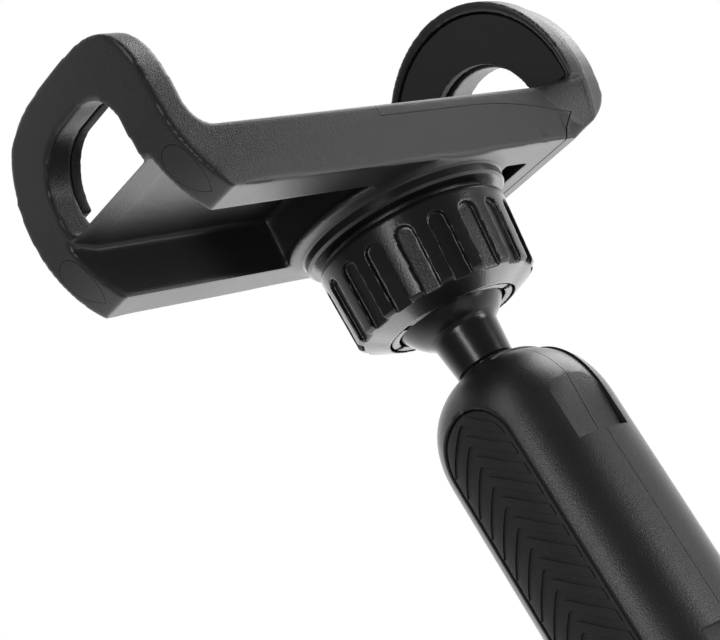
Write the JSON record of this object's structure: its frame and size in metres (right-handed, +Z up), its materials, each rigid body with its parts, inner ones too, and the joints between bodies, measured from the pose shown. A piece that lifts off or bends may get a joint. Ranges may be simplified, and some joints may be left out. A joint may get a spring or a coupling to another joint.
{
  "type": "selfie stick",
  "caption": "Compact telescoping selfie stick: soft-sided oval handle, ball head with ribbed lock collar, and a spring-loaded phone cradle with padded jaws.",
  "frame": {"origin": "Middle of the handle's flat bottom face.", "axes": "+Z up along the handle, +X from the cradle's fixed jaw to its sliding jaw, +Y away from the handle's front finger recess."},
  "size_m": [0.0756, 0.038, 0.1929],
  "materials": {
    "shell": "satin black, fine spark-eroded grain",
    "cradle": "matt black, fine grain",
    "collar": "semi-gloss black",
    "stud": "smooth semi-gloss black",
    "rubber": "soft-touch black rubber",
    "nylon": "natural nylon",
    "tube": "drawn stainless steel",
    "steel": "zinc-plated steel"
  },
  "bodies": {
    "handle": {"end_cap": "shell", "cap_screw_1": "steel", "cap_screw_2": "steel", "handle_shell_left": "shell", "handle_shell_right": "shell", "grip_insert_left": "rubber", "grip_insert_right": "rubber", "shell_dowel_1": "steel", "shell_dowel_2": "steel", "shell_dowel_3": "steel", "shell_dowel_4": "steel", "nose_bush": "nylon", "outer_tube": "tube", "glide_1": "nylon"},
    "stage_1": {"tube_section_1": "tube", "glide_2": "nylon"},
    "stage_2": {"tube_section_2": "tube", "glide_3": "nylon"},
    "stage_3": {"tube_section_3": "tube", "glide_4": "nylon"},
    "stud": {"inner_rod": "tube", "ball_stud": "stud"},
    "swivel": {"ball_seat": "nylon"},
    "nod": {"seat_shim": "nylon"},
    "cradle": {"cradle_body": "cradle", "corner_plug_near": "cradle", "corner_plug_far": "cradle", "left_jaw_pad": "rubber", "spring_pin_near": "steel", "spring_pin_far": "steel", "spring_near": "steel", "spring_far": "steel"},
    "collar": {"lock_collar": "collar"},
    "jaw": {"slider_jaw": "cradle", "right_jaw_pad": "rubber", "spring_hook_near": "steel", "spring_hook_far": "steel"}
  },
  "joints": [
    {"name": "stage_1_slide", "type": "slide", "parent": "handle", "child": "stage_1", "axis": [0, 0, 1], "range_m": [0, 0.105]},
    {"name": "stage_2_slide", "type": "slide", "parent": "stage_1", "child": "stage_2", "axis": [0, 0, 1], "range_m": [0, 0.105]},
    {"name": "stage_3_slide", "type": "slide", "parent": "stage_2", "child": "stage_3", "axis": [0, 0, 1], "range_m": [0, 0.105]},
    {"name": "rod_slide", "type": "slide", "parent": "stage_3", "child": "stud", "axis": [0, 0, 1], "range_m": [0, 0.1]},
    {"name": "ball_swivel", "type": "hinge", "parent": "stud", "child": "swivel", "pos_m": [0, 0, 0.152], "axis": [0, 0, 1], "continuous": true},
    {"name": "ball_nod", "type": "hinge", "parent": "swivel", "child": "nod", "pos_m": [0, 0, 0.152], "axis": [1, 0, 0], "range_deg": [-24.5, 11.5]},
    {"name": "ball_roll", "type": "hinge", "parent": "nod", "child": "cradle", "pos_m": [0, 0, 0.152], "axis": [0, 0.9936, 0.1132], "range_deg": [-18, 18]},
    {"name": "collar_turn", "type": "hinge", "parent": "cradle", "child": "collar", "pos_m": [0, 0, 0.152], "axis": [0, -0.1132, 0.9936], "range_deg": [0, 180]},
    {"name": "jaw_slide", "type": "slide", "parent": "cradle", "child": "jaw", "axis": [1, 0, 0], "range_m": [0, 0.028], "stiffness_N_per_m": 120, "springref_m": -0.02, "deforming": ["spring_near", "spring_far"]}
  ]
}
